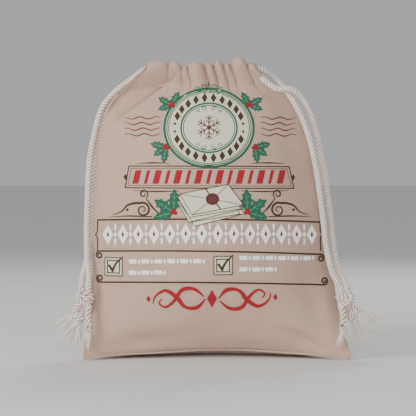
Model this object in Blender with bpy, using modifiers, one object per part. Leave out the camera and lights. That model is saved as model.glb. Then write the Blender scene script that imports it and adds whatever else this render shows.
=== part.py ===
"""Drawstring mail sack: two cloth panels sewn at the sides and the bottom, with a drawstring
casing along each top edge, and one cord through each casing. At either side the two cords
hang down together, are knotted together by the bottom corner and end in frayed tassels.

Lengths are in millimetres and become metres in the meshes. +X is the viewer's right,
-Y is the front and +Z is up. The origin is on the floor, midway between the bottom corners.
"""

import math

import bmesh
import bpy
from mathutils import Matrix, Vector

MM = 0.001
GAP = 0.3                 # clearance kept between touching pieces

# Cloth
WALL = 1.4                # panel thickness, several times the cloth's own
SEAM_SPREAD = 2.2         # each panel's outer face stands this far from the seam's middle
SIDE_SEAM_GAP = 0.6       # the side seams' allowance stands this far outside the panels
SEAM_RADIUS = 1.2         # rolled seam allowance
SEAM_TILT = math.radians(60)  # how far the sheet is laid over at the bottom corners
UPRIGHT_FROM = 4          # the station from which the side seams stand upright
FLAT_SHARE = 0.15         # share of a row, either side of its middle, that stays level
SWELL_POWER = 1.6         # how sharply the cloth falls away towards the side seams
ROWS_PER_STATION = 2
COLUMNS = 26

# Casings, straight tubes that hold a cord each
CASING_LEFT, CASING_RIGHT = -70.3, 40.3
CASING_Y = 14.0
CASING_Z = 316.0
CASING_HALF_DEPTH = 8.5
CASING_HALF_HEIGHT = 14.0
CASING_WALL = 1.5
CASING_SIDES = 20
CASING_RUN_INSET = 2.0    # from the end of a free run to the cord's stretch inside the casing
THREAD_RADIUS = 0.7

# Cords
CORD_RADIUS = 3.5
CORD_STEP = 15.0          # distance between the points of a cord's tube

# Bottom seam to casing, in equal steps of cloth. Each station has the left and right seams
# as (x, y, z) and the middle of the front and back panels as (y, z).
STATIONS = (
    ((-143, -50, 2.5), (143, -50, 2.5), (-22, 5.6), (-19, 1.4)),
    ((-143, -47, 8), (143, -47, 8), (-30, 12), (-14, 0)),
    ((-142, -40, 21.5), (140, -40, 21.5), (-41, 26), (12, 0)),
    ((-139.5, -27, 46.5), (134, -27, 46.5), (-52, 50), (36, 0)),
    ((-137, -12, 74.5), (130, -12, 74.5), (-60, 80), (52, 14)),
    ((-136, -2, 107.5), (125, -2, 107.5), (-63, 115), (61, 50)),
    ((-135, 0, 146.5), (119.5, 0, 146.5), (-61, 155), (62.6, 105)),
    ((-133, 0, 192), (113.5, 0, 192), (-54, 198), (56, 170)),
    ((-128.5, -3, 241), (104, 0, 241), (-42, 240), (42, 230)),
    ((-112.5, -8, 285), (82.5, 0, 284), (-27, 277), (26, 272)),
    ((-77.5, -6, 305), (53.5, 0, 304), (-14, 299), (14, 299)),
)

# Where each cord's free runs pass, from the casing's end down to the joining knot.
CORD_ROUTES = {
    "front_cord_left_run": (
        (-72.3, -14, 318), (-78, -12.5, 318), (-83, -8, 315.5), (-89, -1, 311.5), (-97, 4, 306),
        (-106, 6, 299.5), (-113, 6, 293.5), (-119.5, 5, 287), (-125, 4, 279.5), (-129.5, 3, 270),
        (-133.5, 2, 256), (-137, 1, 240), (-140, 1, 225), (-142, 1, 207), (-143.2, 1, 181),
        (-144, 0, 153), (-144, -3, 132), (-143, -9, 111.5), (-140.5, -20, 94), (-139.4, -31, 82),
        (-139.4, -35, 75.8),
    ),
    "back_cord_left_run": (
        (-72.3, 14, 318), (-78, 14.5, 316), (-86, 15, 310), (-95, 15, 302), (-105, 14, 293.5),
        (-114.5, 12.5, 285), (-122.5, 11, 274.5), (-128, 9.5, 260), (-131.5, 9, 246),
        (-134, 8.5, 230), (-136, 8.5, 212), (-137.5, 8.5, 191), (-138, 8, 170), (-138.5, 7.5, 153),
        (-139.5, 5.5, 132), (-142.5, 0, 112), (-146.5, -12, 94.5), (-147.5, -27, 82),
        (-146.8, -35, 76.2),
    ),
    "front_cord_right_run": (
        (42.3, -14, 310.8), (48, -15, 309.5), (54.5, -15.5, 304), (61.5, -16, 298.5),
        (68, -16.5, 295.5), (74.5, -16, 296), (80.5, -14.5, 296), (87, -11, 293.5),
        (93, -5, 288.5), (98.5, -1, 281), (103.5, 0, 272), (108, 0.5, 259), (113, 0.5, 242),
        (117, 0.5, 222), (121, 0.5, 202), (124.5, 0, 176), (127.5, -1, 153), (129, -4, 132),
        (131.5, -11, 111), (135, -20, 95), (141, -30, 83), (143.9, -35, 76),
    ),
    "back_cord_right_run": (
        (42.3, 14, 319.5), (48, 11.5, 319.5), (55, 8, 316.5), (62, 3.5, 311), (69, -1, 304.5),
        (75, -4.5, 298.5), (80, -6, 290.5), (85.5, -8, 282.5), (91, -9.5, 272), (96.5, -10, 259.5),
        (102, -10.5, 244.5), (106, -11, 229), (111, -11, 204), (115, -11, 176), (118, -12, 153),
        (120, -14, 132), (123, -20, 112), (126.5, -28, 96), (132, -34, 83.5), (136.2, -35, 75.6),
    ),
}

SIDES = (("left", -1, 143.0), ("right", 1, 140.0))   # name, sign of X, the joining knot's reach
KNOT_Y, KNOT_Z = -35.0, 64.0
KNOT_HALF = (9.5, 8.0, 9.5)
PIVOT_DROP = 11.0          # tails turn this far below the joining knot's middle
INNER_TAIL_X, OUTER_TAIL_X = -4.5, 5.5   # tails' places, measured outwards from the knot
INNER_TAIL_Y = -9.5        # the inner tail hangs this far in front of the knot's middle
INNER_TAIL_LEAN = 0.25    # forwards, over the sack's corner, for each unit down
OUTER_TAIL_LEAN = 0.3     # outwards, for each unit down
INNER_TAIL_LENGTH = 12.0
OUTER_TAIL_LENGTH = 4.5
INNER_END_KNOT_RADIUS = 4.4
OUTER_END_KNOT_RADIUS = 6.2
TASSEL_SIDES = 12
FLICK_ANGLE = math.radians(72)   # the flicked bunch points outwards, this far from straight down
FAN_ANGLE = math.radians(18)

COTTON = (0.44, 0.33, 0.28, 1.0)
ROPE = (0.76, 0.68, 0.62, 1.0)
SEAM = (0.50, 0.39, 0.34, 1.0)


def clear_scene():
    for thing in list(bpy.data.objects):
        bpy.data.objects.remove(thing)
    sack = bpy.data.collections.new("mail_sack")
    bpy.context.scene.collection.children.link(sack)
    return sack


def material(name, colour, roughness):
    made = bpy.data.materials.new(name)
    made.use_nodes = True
    shader = made.node_tree.nodes["Principled BSDF"]
    shader.inputs["Base Color"].default_value = colour
    shader.inputs["Roughness"].default_value = roughness
    shader.inputs["Metallic"].default_value = 0.0
    return made


def add(name, data, finish, sack):
    """Puts a mesh or curve into the scene as one named piece."""
    piece = bpy.data.objects.new(name, data)
    piece.data.materials.append(finish)
    sack.objects.link(piece)
    return piece


def smooth(points, position):
    """The point at a position, counted in points, on a curve through all of them."""
    last = len(points) - 1
    start = min(int(position), last - 1)
    t = position - start
    a, b, c, d = (Vector(points[min(max(start + k, 0), last)]) for k in (-1, 0, 1, 2))
    return 0.5 * (
        2 * b + (c - a) * t + (2 * a - 5 * b + 4 * c - d) * t * t
        + (3 * b - a - 3 * c + d) * t * t * t
    )


def even_points(points, step):
    """Points about a step apart along the smooth curve through the given points."""
    fine = [smooth(points, k / 8) for k in range(8 * (len(points) - 1) + 1)]
    reach = [0.0]
    for before, after in zip(fine, fine[1:]):
        reach.append(reach[-1] + (after - before).length)
    count = max(2, round(reach[-1] / step))
    found, k = [], 0
    for n in range(count + 1):
        wanted = reach[-1] * n / count
        while k < len(fine) - 2 and reach[k + 1] < wanted:
            k += 1
        share = (wanted - reach[k]) / (reach[k + 1] - reach[k])
        found.append(fine[k].lerp(fine[k + 1], share))
    return found


def tube(name, points, radius, finish, sack, resolution=2):
    """A round cord, thread or seam along a run of points."""
    line = bpy.data.curves.new(name, "CURVE")
    line.dimensions = "3D"
    line.bevel_depth = radius * MM
    line.bevel_resolution = resolution
    line.use_fill_caps = True
    run = line.splines.new("POLY")
    run.points.add(len(points) - 1)
    for spot, point in zip(run.points, points):
        spot.co = (*(Vector(point) * MM), 1.0)
    return add(name, line, finish, sack)


def bent_sheet(name, columns, rows, shape, thickness, finish, sack, close=False):
    """A grid bent by shape(u, v), with u and v from 0 to 1, and thickened inwards."""
    mesh = bpy.data.meshes.new(name)
    work = bmesh.new()
    bmesh.ops.create_grid(work, x_segments=columns, y_segments=rows, size=0.5)
    for vertex in work.verts:
        vertex.co = Vector(shape(vertex.co.x + 0.5, vertex.co.y + 0.5)) * MM
    if close:
        bmesh.ops.remove_doubles(work, verts=work.verts, dist=0.01 * MM)
    work.to_mesh(mesh)
    work.free()
    mesh.shade_smooth()
    piece = add(name, mesh, finish, sack)
    shell = piece.modifiers.new("thickness", "SOLIDIFY")
    shell.thickness = thickness * MM
    shell.offset = -1.0
    return piece


def station(v):
    """The seams and middles at a share v of the way up, as four vectors (x, y, z)."""
    position = v * (len(STATIONS) - 1)
    rows = list(zip(*STATIONS))
    left, right = smooth(rows[0], position), smooth(rows[1], position)
    middles = [smooth([(0, *pair) for pair in row], position) for row in rows[2:]]
    tilt = SEAM_TILT * max(0.0, 1 - position / UPRIGHT_FROM)
    return left, right, middles, Vector((0, -math.cos(tilt), math.sin(tilt)))


def panel_point(u, v, back):
    """A point of a panel's outer face: u runs from the left seam to the right one."""
    left, right, middles, forward = station(v)
    angle = (u - 0.5) * math.pi
    swell = max(0.0, math.cos(angle))
    edge = left.lerp(right, (1 + math.sin(angle)) / 2)
    edge += forward * (SEAM_SPREAD * (-1 if back else 1))
    middle = middles[1 if back else 0]
    fall = max(0.0, (1 - swell - FLAT_SHARE) / (1 - FLAT_SHARE)) ** 1.5
    y = edge.y + (middle.y - edge.y) * swell ** SWELL_POWER
    z = middle.z + (edge.z - middle.z) * fall
    return edge.x, y, max(z, 0.0)


def add_panel(name, back, finish, sack):
    rows = ROWS_PER_STATION * (len(STATIONS) - 1)
    turn = (lambda u: 1 - u) if back else (lambda u: u)
    return bent_sheet(
        name, COLUMNS, rows, lambda u, v: panel_point(turn(u), v, back), WALL, finish, sack
    )


def add_side_seam(name, side, finish, sack):
    """The rolled seam allowance that runs up outside the panels' edges."""
    outwards = -1 if side == 0 else 1
    reach = SEAM_RADIUS + SIDE_SEAM_GAP
    points = []
    count = 2 * (len(STATIONS) - 1)
    for k in range(count):
        points.append(station(k / count)[side] + Vector((outwards * reach, 0, 0)))
    return tube(name, points, SEAM_RADIUS, finish, sack)


def add_bottom_seam(name, finish, sack):
    left, right, middles, _ = station(0)
    points = []
    for k in range(COLUMNS + 1):
        angle = (k / COLUMNS - 0.5) * math.pi * 0.9
        swell = math.cos(angle)
        spot = left.lerp(right, (1 + math.sin(angle)) / 2)
        spot.y += (middles[0].y - left.y) * swell ** SWELL_POWER - 3.2
        spot.z = 1.4 + 1.2 * swell
        points.append(spot)
    return tube(name, points, SEAM_RADIUS, finish, sack)


def add_casing(name, y, finish, sack):
    def wall(u, v):
        angle = -2 * math.pi * v
        x = CASING_LEFT + (CASING_RIGHT - CASING_LEFT) * u
        return (
            x,
            y - CASING_HALF_DEPTH * math.sin(angle),
            CASING_Z + CASING_HALF_HEIGHT * math.cos(angle),
        )

    return bent_sheet(name, 6, CASING_SIDES, wall, CASING_WALL, finish, sack, close=True)


def add_casing_stitching(name, y, finish, sack):
    """The thread that closes a casing, just under it on the panel's outer face."""
    outwards = -1 if y < 0 else 1
    v = 0.985
    points = []
    for k in range(15):
        u = 0.2 + 0.6 * k / 14
        x, panel_y, z = panel_point(u, v, y > 0)
        points.append((x, panel_y + outwards * (THREAD_RADIUS + GAP + 0.4), z - 0.4))
    return tube(name, points, THREAD_RADIUS, finish, sack)


def add_casing_run(name, left_route, right_route, finish, sack):
    """The hidden part of a cord, straight through its casing between the two free runs."""
    left, right = Vector(left_route[0]), Vector(right_route[0])
    left.x += CASING_RUN_INSET
    right.x -= CASING_RUN_INSET
    points = [left.lerp(right, k / 6) for k in range(7)]
    return tube(name, points, CORD_RADIUS, finish, sack)


def ball(name, centre, halves, finish, sack, squeeze=0.0):
    """A knot's plain shape."""
    mesh = bpy.data.meshes.new(name)
    work = bmesh.new()
    bmesh.ops.create_uvsphere(work, u_segments=14, v_segments=9, radius=1.0)
    for vertex in work.verts:
        x, y, z = vertex.co
        narrow = 1 - squeeze * z * z
        vertex.co = Vector((x * halves[0] * narrow, y * halves[1] * narrow, z * halves[2])) * MM
    work.to_mesh(mesh)
    work.free()
    mesh.shade_smooth()
    piece = add(name, mesh, finish, sack)
    piece.location = Vector(centre) * MM
    return piece


def brush(name, root, direction, length, radii, finish, sack, flat=1.0):
    """A frayed bunch's plain shape: a cone from its root, narrower across by flat."""
    mesh = bpy.data.meshes.new(name)
    work = bmesh.new()
    bmesh.ops.create_cone(
        work, cap_ends=True, segments=TASSEL_SIDES, radius1=radii[1] * MM, radius2=radii[0] * MM,
        depth=length * MM, matrix=Matrix.Translation((0, 0, -length / 2 * MM)),
    )
    bmesh.ops.scale(work, vec=(1, flat, 1), verts=work.verts)
    work.to_mesh(mesh)
    work.free()
    piece = add(name, mesh, finish, sack)
    piece.location = Vector(root) * MM
    piece.rotation_euler = Vector((0, 0, -1)).rotation_difference(Vector(direction)).to_euler()
    return piece


def add_cord_end(side, sign, reach, finish, sack):
    """The joining knot at a bottom corner, with the inner and outer tails under it."""
    knot = Vector((sign * reach, KNOT_Y, KNOT_Z))
    ball(f"{side}_joining_knot", knot, KNOT_HALF, finish, sack, squeeze=0.25)

    lean = Vector((0, -INNER_TAIL_LEAN, -1)).normalized()
    top = knot + Vector((sign * INNER_TAIL_X, INNER_TAIL_Y, -PIVOT_DROP))
    bottom = top + lean * INNER_TAIL_LENGTH
    tube(f"{side}_inner_tail", (top, top.lerp(bottom, 0.5), bottom), CORD_RADIUS, finish, sack)
    end_knot = bottom + lean * (INNER_END_KNOT_RADIUS + GAP)
    ball(f"{side}_inner_end_knot", end_knot, [INNER_END_KNOT_RADIUS] * 3, finish, sack)
    root = end_knot + lean * (INNER_END_KNOT_RADIUS + GAP)
    brush(f"{side}_inner_tassel", root, lean, 18, (2.8, 5.0), finish, sack)

    top = knot + Vector((sign * OUTER_TAIL_X, 0, -PIVOT_DROP))
    lean = Vector((sign * OUTER_TAIL_LEAN, 0, -1)).normalized()
    bottom = top + lean * OUTER_TAIL_LENGTH
    tube(f"{side}_outer_tail", (top, top.lerp(bottom, 0.5), bottom), CORD_RADIUS, finish, sack)
    end_knot = bottom + lean * (OUTER_END_KNOT_RADIUS + GAP)
    ball(f"{side}_outer_end_knot", end_knot, [OUTER_END_KNOT_RADIUS] * 3, finish, sack)
    for bunch, angle, length, radii in (
        ("flick_tassel", FLICK_ANGLE, 19, (2.6, 4.2)),
        ("fan_tassel", FAN_ANGLE, 21, (3.2, 8.5)),
    ):
        way = Vector((sign * math.sin(angle), 0, -math.cos(angle)))
        root = end_knot + way * (OUTER_END_KNOT_RADIUS + GAP)
        brush(f"{side}_outer_{bunch}", root, way, length, radii, finish, sack, flat=0.6)


def main():
    sack = clear_scene()
    cotton = material("cotton_canvas", COTTON, 0.9)
    rope = material("cotton_cord", ROPE, 0.85)
    seam = material("seam_thread", SEAM, 0.8)

    add_panel("front_panel", False, cotton, sack)
    add_panel("back_panel", True, cotton, sack)
    add_side_seam("left_side_seam", 0, seam, sack)
    add_side_seam("right_side_seam", 1, seam, sack)
    add_bottom_seam("bottom_seam", seam, sack)
    add_casing("front_casing", -CASING_Y, cotton, sack)
    add_casing("back_casing", CASING_Y, cotton, sack)
    add_casing_stitching("front_casing_stitching", -CASING_Y, seam, sack)
    add_casing_stitching("back_casing_stitching", CASING_Y, seam, sack)
    for cord in ("front_cord", "back_cord"):
        left_route, right_route = CORD_ROUTES[cord + "_left_run"], CORD_ROUTES[cord + "_right_run"]
        add_casing_run(cord + "_casing_run", left_route, right_route, rope, sack)
    for name, route in CORD_ROUTES.items():
        tube(name, even_points(route, CORD_STEP), CORD_RADIUS, rope, sack)
    for side, sign, reach in SIDES:
        add_cord_end(side, sign, reach, rope, sack)


main()
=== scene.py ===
"""The looks of the drawstring mail sack: gathered canvas, twisted cotton cords with knots and
frayed tassels, and a plain generic print on the front. Lengths are in millimetres until a mesh
is made."""

import math

import bpy
import numpy as np
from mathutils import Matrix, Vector, noise
from mathutils.bvhtree import BVHTree


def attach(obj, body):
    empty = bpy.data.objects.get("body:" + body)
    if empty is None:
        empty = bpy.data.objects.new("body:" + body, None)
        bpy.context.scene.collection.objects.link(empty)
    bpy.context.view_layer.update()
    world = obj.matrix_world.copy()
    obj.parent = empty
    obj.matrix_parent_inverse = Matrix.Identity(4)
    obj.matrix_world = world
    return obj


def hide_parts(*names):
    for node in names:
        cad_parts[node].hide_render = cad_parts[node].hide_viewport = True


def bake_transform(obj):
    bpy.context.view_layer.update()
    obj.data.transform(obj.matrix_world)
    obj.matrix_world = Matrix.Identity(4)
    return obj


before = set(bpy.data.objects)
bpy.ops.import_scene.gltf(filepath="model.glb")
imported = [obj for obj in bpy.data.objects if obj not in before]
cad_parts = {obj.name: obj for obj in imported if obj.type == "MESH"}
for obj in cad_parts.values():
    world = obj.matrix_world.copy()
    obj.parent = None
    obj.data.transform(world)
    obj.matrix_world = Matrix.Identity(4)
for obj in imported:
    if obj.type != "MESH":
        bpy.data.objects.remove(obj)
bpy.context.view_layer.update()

MM = 0.001

# ------------------------------------------------ colours (linear RGB)
CANVAS = (0.508, 0.350, 0.281)
ROPE = (0.93, 0.85, 0.79)
YARN = (0.90, 0.83, 0.78)
# painted shade: the darker colour put in the grooves between a rope's strands and in the low spots
# between its yarns
ROPE_PAINTED_SHADE = (0.42, 0.285, 0.235)
FLOOR = (0.80, 0.79, 0.77)
DARK_BROWN = (0.055, 0.036, 0.020)
GREEN = (0.022, 0.115, 0.068)
MID_GREEN = (0.12, 0.27, 0.19)
CREAM = (0.66, 0.64, 0.50)
RED = (0.33, 0.016, 0.026)
MAROON = (0.115, 0.032, 0.034)
WHITE = (0.93, 0.93, 0.91)

# ------------------------------------------------ cloth shape
# Bottom seam to casing: left and right seams (x, y, z), front and back middles (y, z).
STATIONS = (
    ((-143, -50, 2.5), (143, -50, 2.5), (-22, 5.6), (-20.5, 4.4)),
    ((-143, -47, 8), (143, -47, 8), (-30, 12), (2, 1.6)),
    ((-142, -40, 21.5), (140, -40, 21.5), (-41, 26), (20, 0.4)),
    ((-139.5, -27, 46.5), (134, -27, 46.5), (-52, 50), (36, 0.4)),
    ((-137, -12, 74.5), (130, -12, 74.5), (-60, 80), (52, 14)),
    ((-136, -2, 107.5), (125, -2, 107.5), (-63, 115), (61, 50)),
    ((-135, 0, 146.5), (119.5, 0, 146.5), (-61, 155), (62.6, 105)),
    ((-133, 0, 192), (113.5, 0, 192), (-54, 198), (56, 170)),
    ((-128.5, -3, 241), (104, 0, 241), (-42, 240), (42, 230)),
    ((-112.5, -8, 285), (82.5, 0, 284), (-27, 277), (26, 272)),
    ((-77.5, -6, 307), (53.5, 0, 305), (-15, 299), (15, 299)),
)
SEAM_SPREAD = 0.9
SEAM_TILT = math.radians(60)
UPRIGHT_FROM = 4
SEAM_RISE = 4.2
FLAT_SHARE = 0.15         # heights stay level until the swell has dropped by this share
SWELL_POWER = 1.6
THREADS_PER_MM = 1.5
COLUMNS = 340
BODY_ROWS = 240
LIFTED_ROWS = 30          # the bottom seam's lift has faded out this many rows up
CASING_ROWS = 26
RIM_ROWS = 9
LINING_ROWS = 12
RIM_LEFT, RIM_RIGHT = -77.0, 44.0

# Gathers along a mouth edge, left to right: where each one ends, the height of its crown, how
# far it stands out and how far down it runs.
FRONT_GATHERS = (
    (-52.7, 326.7, 5.0, 22), (-38.5, 325.9, 7.0, 26), (-31.5, 321.8, 3.0, 16),
    (-12.8, 325.2, 9.0, 40), (-3.2, 324.2, 6.5, 30), (7.3, 326.6, 7.5, 34),
    (15.5, 324.6, 5.0, 24), (33.5, 330.4, 8.0, 36), (44.0, 325.0, 4.0, 26),
)
BACK_GATHERS = (
    (-60.0, 325.0, 6.0, 26), (-46.0, 327.5, 7.5, 36), (-35.0, 324.0, 5.0, 24),
    (-20.0, 328.0, 8.5, 40), (-9.0, 325.5, 6.0, 30), (3.0, 327.5, 7.0, 38),
    (12.0, 325.0, 5.0, 26), (25.0, 327.5, 7.5, 36), (44.0, 327.0, 5.5, 26),
)
# Creases: start, end, depth, width and how sharp. Dents: centre, size, depth and turn, with
# swellings as negative depths.
FRONT_CREASES = (
    ((-116, 256), (-45, 308), 10.0, 20.0, 1.2), ((-116, 256), (-45, 308), 4.0, 1.8, 0.8),
)
BACK_CREASES = (
    ((-104, 262), (-40, 314), 4.0, 14.0, 1.8),
)
FRONT_DENTS = (
    ((-96, 282), (26, 12), 2.0, 0.6), ((-70, 22), (46, 9), 4.0, 0.1),
    ((30, 14), (60, 7), 2.0, -0.05), ((96, 22), (26, 5), 4.5, -0.5),
    ((88, 36), (30, 9), -2.5, -0.2), ((104, 72), (14, 34), 2.2, 0.1),
    ((122, 60), (8, 34), -1.6, 0.1), ((84, 232), (20, 44), 4.5, 0.35),
    ((60, 270), (10, 34), -2.0, 0.5), ((-110, 95), (14, 50), 1.6, 0.0),
)
BACK_DENTS = (
    ((60, 262), (10, 40), 3.0, 0.5), ((84, 236), (12, 46), -2.5, 0.4),
    ((-20, 250), (9, 46), 2.4, -0.1), ((10, 235), (10, 60), -2.2, 0.05),
    ((-70, 120), (16, 70), 2.6, -0.15), ((70, 110), (18, 60), 2.4, 0.2),
    ((-110, 60), (40, 10), 2.4, 0.6), ((105, 60), (40, 10), 2.4, -0.6),
    ((0, 60), (60, 12), -2.0, 0.05),
)
CASING_OUT, LINING_OUT = 20.0, 8.0   # the casing's two walls, from the mouth's middle
GATHER_GAIN, GATHER_SINK = 1.75, 0.30
RIM_HEIGHT = 3.0
VALLEY_DROP = 3.6         # valleys of the mouth edge lie this far under the crowns beside them

# ------------------------------------------------ cords
ROPE_RADIUS = 3.5
ROPE_LAY = 11.4
SQUEEZED_RADIUS = 2.2     # inside the casings, where the gathers press the cord
STRAND_SHARE = 0.46       # a strand's radius over its rope's
YARNS_ROUND, YARN_PITCH = 5, 2.6
CORD_ROUTES = {
    "front_cord_left_run": (
        (-72.3, -14, 318), (-78, -12.5, 318), (-83, -8, 315.5), (-89, -1, 311.5), (-97, 4, 306),
        (-106, 6, 299.5), (-113, 6, 293.5), (-119.5, 5, 287), (-125, 4, 279.5), (-129.5, 3, 270),
        (-133.5, 2, 256), (-137, 1, 240), (-140, 1, 225), (-142, 1, 207), (-143.2, 1, 181),
        (-144, 0, 153), (-144, -3, 132), (-143, -9, 111.5), (-140.5, -20, 94), (-139.4, -31, 82),
        (-139.4, -35, 75.8),
    ),
    "back_cord_left_run": (
        (-72.3, 14, 318), (-78, 14.5, 316), (-86, 15, 310), (-95, 15, 302), (-105, 14, 293.5),
        (-114.5, 12.5, 285), (-122.5, 11, 274.5), (-128, 9.5, 260), (-131.5, 9, 246),
        (-134, 8.5, 230), (-136, 8.5, 212), (-137.5, 8.5, 191), (-138, 8, 170), (-138.5, 7.5, 153),
        (-139.5, 5.5, 132), (-142.5, 0, 112), (-146.5, -12, 94.5), (-147.5, -27, 82),
        (-146.8, -35, 76.2),
    ),
    "front_cord_right_run": (
        (42.3, -14, 310.8), (48, -15, 309.5), (54.5, -15.5, 304), (61.5, -16, 298.5),
        (68, -16.5, 295.5), (74.5, -16, 296), (80.5, -14.5, 296), (87, -11, 293.5),
        (93, -5, 288.5), (98.5, -1, 281), (103.5, 0, 272), (108, 0.5, 259), (113, 0.5, 242),
        (117, 0.5, 222), (121, 0.5, 202), (124.5, 0, 176), (127.5, -1, 153), (129, -4, 132),
        (131.5, -11, 111), (135, -20, 95), (141, -30, 83), (143.9, -35, 76),
    ),
    "back_cord_right_run": (
        (42.3, 14, 319.5), (48, 11.5, 319.5), (55, 8, 316.5), (62, 3.5, 311), (69, -1, 304.5),
        (75, -4.5, 298.5), (80, -6, 290.5), (85.5, -8, 282.5), (91, -9.5, 272), (96.5, -10, 259.5),
        (102, -10.5, 244.5), (106, -11, 229), (111, -11, 204), (115, -11, 176), (118, -12, 153),
        (120, -14, 132), (123, -20, 112), (126.5, -28, 96), (132, -34, 83.5), (136.2, -35, 75.6),
    ),
}


# ------------------------------------------------ small tools
def smooth(points, position):
    """The point at a position, counted in points, on a curve through all of them."""
    last = len(points) - 1
    start = min(int(position), last - 1)
    t = position - start
    a, b, c, d = (np.array(points[min(max(start + k, 0), last)], float) for k in (-1, 0, 1, 2))
    return 0.5 * (
        2 * b + (c - a) * t + (2 * a - 5 * b + 4 * c - d) * t * t
        + (3 * b - a - 3 * c + d) * t * t * t
    )


def even_points(points, step):
    """Points about a step apart along the smooth curve through the given points."""
    fine = np.array([smooth(points, k / 12) for k in range(12 * (len(points) - 1) + 1)])
    reach = reach_along(fine)
    count = max(3, round(reach[-1] / step))
    wanted = np.linspace(0, reach[-1], count + 1)
    return np.stack([np.interp(wanted, reach, fine[:, k]) for k in range(3)], axis=1)


def reach_along(path):
    """How far along the path each of its points lies."""
    return np.concatenate([[0], np.cumsum(np.linalg.norm(np.diff(path, axis=0), axis=1))])


def ease(t):
    t = np.clip(t, 0, 1)
    return t * t * (3 - 2 * t)


def frames_along(path):
    """Two unit vectors across the path at each point, carried along without twisting."""
    tangent = np.gradient(path, axis=0)
    tangent /= np.linalg.norm(tangent, axis=1)[:, None]
    side = np.cross(tangent[0], (0.3, 0.5, 0.81))
    across = []
    for t in tangent:
        side = side - t * (side @ t)
        side = side / np.linalg.norm(side)
        across.append(side)
    across = np.array(across)
    return across, np.cross(tangent, across)


def make_mesh(name, points, faces, finish, uv=None):
    mesh = bpy.data.meshes.new(name)
    mesh.from_pydata((np.asarray(points) * MM).tolist(), [], faces)
    if uv is not None:
        layer = mesh.uv_layers.new(name="cloth")
        corner = np.empty(len(mesh.loops), int)
        mesh.loops.foreach_get("vertex_index", corner)
        layer.data.foreach_set("uv", np.asarray(uv, np.float32)[corner].ravel())
    mesh.shade_smooth()
    mesh.materials.append(finish)
    piece = bpy.data.objects.new(name, mesh)
    bpy.context.scene.collection.objects.link(piece)
    return piece


def settle(piece, slot, *replaced, body=None):
    """Which solids a piece stands for, and the body that it rides on. slot, what the piece is made
    of, is not used.
    """
    if body:
        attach(piece, body)
    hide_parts(*replaced)


def grid_faces(rows, columns, first=0, wrap=False):
    """Quads of a grid of rows by columns points; wrap joins the last column to the first."""
    faces = []
    for i in range(rows - 1):
        for j in range(columns if wrap else columns - 1):
            a, b = first + i * columns + j, first + i * columns + (j + 1) % columns
            faces.append((a, b, b + columns, a + columns))
    return faces


def tube_points(path, radius, sides, outward=None):
    """Rings round a path. radius is a number or one number for each point of the path, and
    outward is where each ring's first point lies, if that matters."""
    across, up = frames_along(path)
    if outward is not None:
        tangent = np.cross(across, up)
        across = outward - tangent * np.sum(tangent * outward, axis=1)[:, None]
        across /= np.linalg.norm(across, axis=1)[:, None]
        up = np.cross(tangent, across)
    angle = np.linspace(0, 2 * math.pi, sides, endpoint=False)
    ring = np.cos(angle)[None, :, None] * across[:, None] + np.sin(angle)[None, :, None] * up[:, None]
    return path[:, None] + ring * np.broadcast_to(np.asarray(radius, float), len(path))[:, None, None]


def add_tubes(name, tubes, finish):
    """One mesh of closed tubes, each (path, radius, sides, outward or nothing). uv is (turn,
    length), and the turn runs from 0 on the outward side to 0.5 on the inward side and back."""
    points, faces, uv = [], [], []
    for path, radius, sides, *outward in tubes:
        rings = tube_points(path, radius, sides, *outward)
        first = len(points)
        points.extend(rings.reshape(-1, 3))
        for length in reach_along(path):
            uv.extend((abs((k / sides + 0.5) % 1 - 0.5), length) for k in range(sides))
        faces.extend(grid_faces(len(path), sides, first, wrap=True))
        faces.append(tuple(range(first + sides - 1, first - 1, -1)))
        end = first + (len(path) - 1) * sides
        faces.append(tuple(range(end, end + sides)))
    return make_mesh(name, points, faces, finish, uv)


def rope_tubes(points, radius=ROPE_RADIUS, lay=ROPE_LAY, step=1.1, sides=9):
    """Three strands wound right-handed along a smooth curve through the points."""
    path = even_points(points, step)
    across, up = frames_along(path)
    reach = reach_along(path)
    strand = STRAND_SHARE * radius
    tubes = []
    for k in range(3):
        angle = 2 * math.pi * (reach / lay + k / 3)
        outward = np.cos(angle)[:, None] * across + np.sin(angle)[:, None] * up
        tubes.append((path + (radius - strand) * outward, strand, sides, outward))
    return tubes


# ------------------------------------------------ materials
def new_material(name, colour, roughness):
    made = bpy.data.materials.new(name)
    made.use_nodes = True
    shader = made.node_tree.nodes["Principled BSDF"]
    shader.inputs["Base Color"].default_value = (*colour, 1.0)
    shader.inputs["Roughness"].default_value = roughness
    return made, made.node_tree, shader


def node(tree, kind, **settings):
    """A new node. Each setting is a property, or a socket's value or the output that feeds it."""
    made = tree.nodes.new(kind)
    for key, value in settings.items():
        name = key.replace("_", " ")
        if name not in made.inputs:
            setattr(made, key, value)
        elif isinstance(value, bpy.types.NodeSocket):
            tree.links.new(value, made.inputs[name])
        else:
            made.inputs[name].default_value = value
    return made


def maths(tree, operation, *values):
    """The output of a maths node. Each value is a number or the output that feeds it."""
    made = node(tree, "ShaderNodeMath", operation=operation)
    for socket, value in zip(made.inputs, values):
        if isinstance(value, bpy.types.NodeSocket):
            tree.links.new(value, socket)
        else:
            socket.default_value = value
    return made.outputs[0]


def cloth_places(tree):
    """The node that gives places on a piece, and one that splits its layout, in millimetres."""
    place = node(tree, "ShaderNodeTexCoord")
    split = node(tree, "ShaderNodeSeparateXYZ", Vector=place.outputs["UV"])
    return place, split


def add_bump(tree, shader, height, strength, distance):
    bump = node(tree, "ShaderNodeBump", Strength=strength, Distance=distance * MM, Height=height)
    tree.links.new(bump.outputs[0], shader.inputs["Normal"])


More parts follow.
